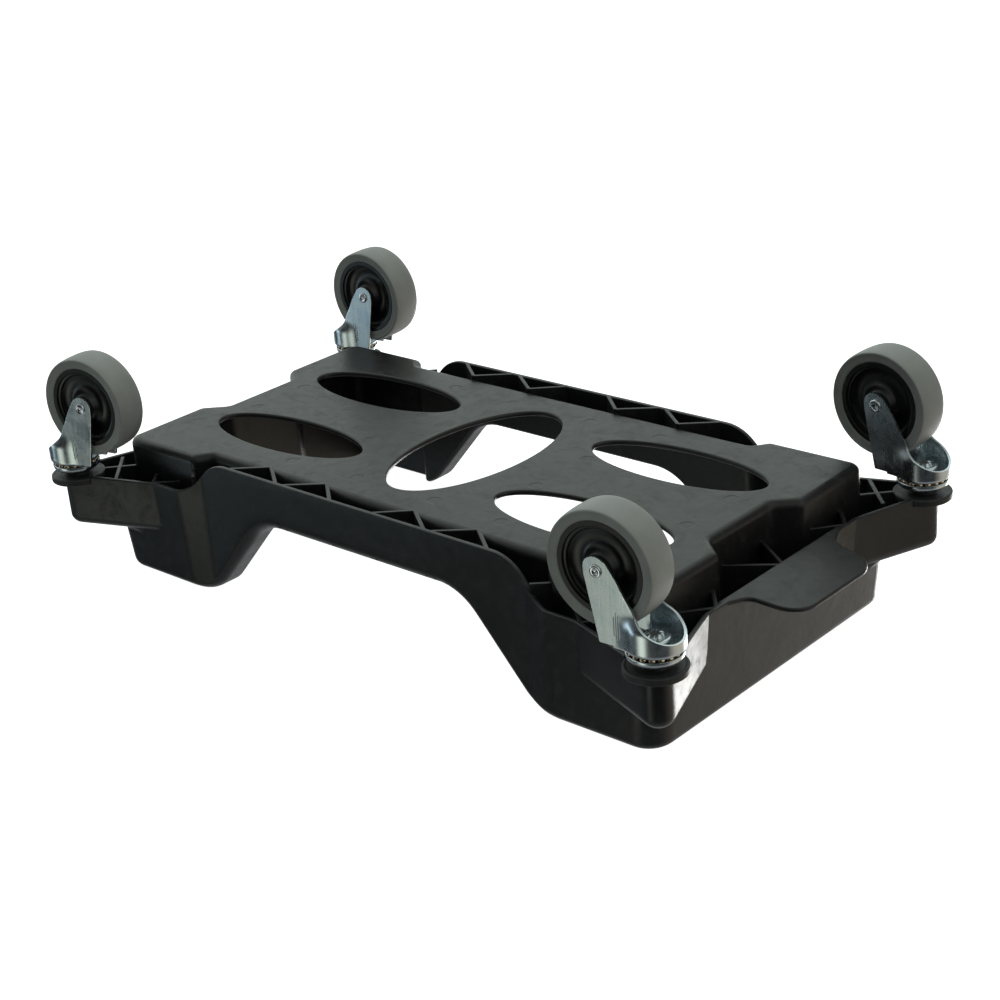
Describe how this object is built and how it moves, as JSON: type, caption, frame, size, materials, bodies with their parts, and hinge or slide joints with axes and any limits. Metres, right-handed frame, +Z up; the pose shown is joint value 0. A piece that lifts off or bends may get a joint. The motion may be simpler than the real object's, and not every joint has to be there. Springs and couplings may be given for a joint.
{
  "type": "castered platform creeper",
  "caption": "Black moulded platform with a deep tray, arched sides and pull tongue, rolling on swivel casters with grey rubber treads.",
  "frame": {"origin": "on the ground under the middle of the whole object", "axes": "+X along the length towards the pull tongue, +Y across to the left, +Z up"},
  "size_m": [0.8068, 0.4556, 0.2375],
  "materials": {
    "platform_plastic": "fine-grained matte moulding with faint swirls",
    "bumper_rubber": "matte",
    "zinc": "bright zinc plating",
    "steel": "plain",
    "ball_steel": "greased steel balls",
    "axle_steel": "bright zinc plating",
    "hub_plastic": "glossy black",
    "tread_rubber": "smooth non-marking grey rubber"
  },
  "bodies": {
    "platform": {"platform": "platform_plastic", "stem_front_left": "steel", "grip_ring_front_left": "steel", "bumper_front_left": "bumper_rubber", "lower_race_front_left": "zinc", "outer_balls_front_left": "ball_steel", "inner_balls_front_left": "ball_steel", "inner_race_front_left": "zinc", "stem_front_right": "steel", "grip_ring_front_right": "steel", "bumper_front_right": "bumper_rubber", "lower_race_front_right": "zinc", "outer_balls_front_right": "ball_steel", "inner_balls_front_right": "ball_steel", "inner_race_front_right": "zinc", "stem_rear_left": "steel", "grip_ring_rear_left": "steel", "bumper_rear_left": "bumper_rubber", "lower_race_rear_left": "zinc", "outer_balls_rear_left": "ball_steel", "inner_balls_rear_left": "ball_steel", "inner_race_rear_left": "zinc", "stem_rear_right": "steel", "grip_ring_rear_right": "steel", "bumper_rear_right": "bumper_rubber", "lower_race_rear_right": "zinc", "outer_balls_rear_right": "ball_steel", "inner_balls_rear_right": "ball_steel", "inner_race_rear_right": "zinc"},
    "caster_front_left": {"fork_front_left": "zinc", "axle_front_left": "axle_steel", "bushing_front_left": "steel"},
    "wheel_front_left": {"hub_front_left": "hub_plastic", "tread_front_left": "tread_rubber"},
    "caster_front_right": {"fork_front_right": "zinc", "axle_front_right": "axle_steel", "bushing_front_right": "steel"},
    "wheel_front_right": {"hub_front_right": "hub_plastic", "tread_front_right": "tread_rubber"},
    "caster_rear_left": {"fork_rear_left": "zinc", "axle_rear_left": "axle_steel", "bushing_rear_left": "steel"},
    "wheel_rear_left": {"hub_rear_left": "hub_plastic", "tread_rear_left": "tread_rubber"},
    "caster_rear_right": {"fork_rear_right": "zinc", "axle_rear_right": "axle_steel", "bushing_rear_right": "steel"},
    "wheel_rear_right": {"hub_rear_right": "hub_plastic", "tread_rear_right": "tread_rubber"}
  },
  "joints": [
    {"name": "swivel_front_left", "type": "hinge", "parent": "platform", "child": "caster_front_left", "pos_m": [0.36389, 0.2005, 0.116], "axis": [0, 0, 1], "continuous": true},
    {"name": "roll_front_left", "type": "hinge", "parent": "caster_front_left", "child": "wheel_front_left", "pos_m": [0.3255, 0.20345, 0.0508], "axis": [-0.0767, -0.9971, 0], "continuous": true},
    {"name": "swivel_front_right", "type": "hinge", "parent": "platform", "child": "caster_front_right", "pos_m": [0.36389, -0.2005, 0.116], "axis": [0, 0, 1], "continuous": true},
    {"name": "roll_front_right", "type": "hinge", "parent": "caster_front_right", "child": "wheel_front_right", "pos_m": [0.32545, -0.20278, 0.0508], "axis": [0.0593, -0.9982, 0], "continuous": true},
    {"name": "swivel_rear_left", "type": "hinge", "parent": "platform", "child": "caster_rear_left", "pos_m": [-0.37611, 0.2005, 0.116], "axis": [0, 0, 1], "continuous": true},
    {"name": "roll_rear_left", "type": "hinge", "parent": "caster_rear_left", "child": "wheel_rear_left", "pos_m": [-0.33813, 0.19421, 0.0508], "axis": [0.1633, 0.9866, 0], "continuous": true},
    {"name": "swivel_rear_right", "type": "hinge", "parent": "platform", "child": "caster_rear_right", "pos_m": [-0.37611, -0.2005, 0.116], "axis": [0, 0, 1], "continuous": true},
    {"name": "roll_rear_right", "type": "hinge", "parent": "caster_rear_right", "child": "wheel_rear_right", "pos_m": [-0.33762, -0.20111, 0.0508], "axis": [0.0157, 0.9999, 0], "continuous": true}
  ]
}
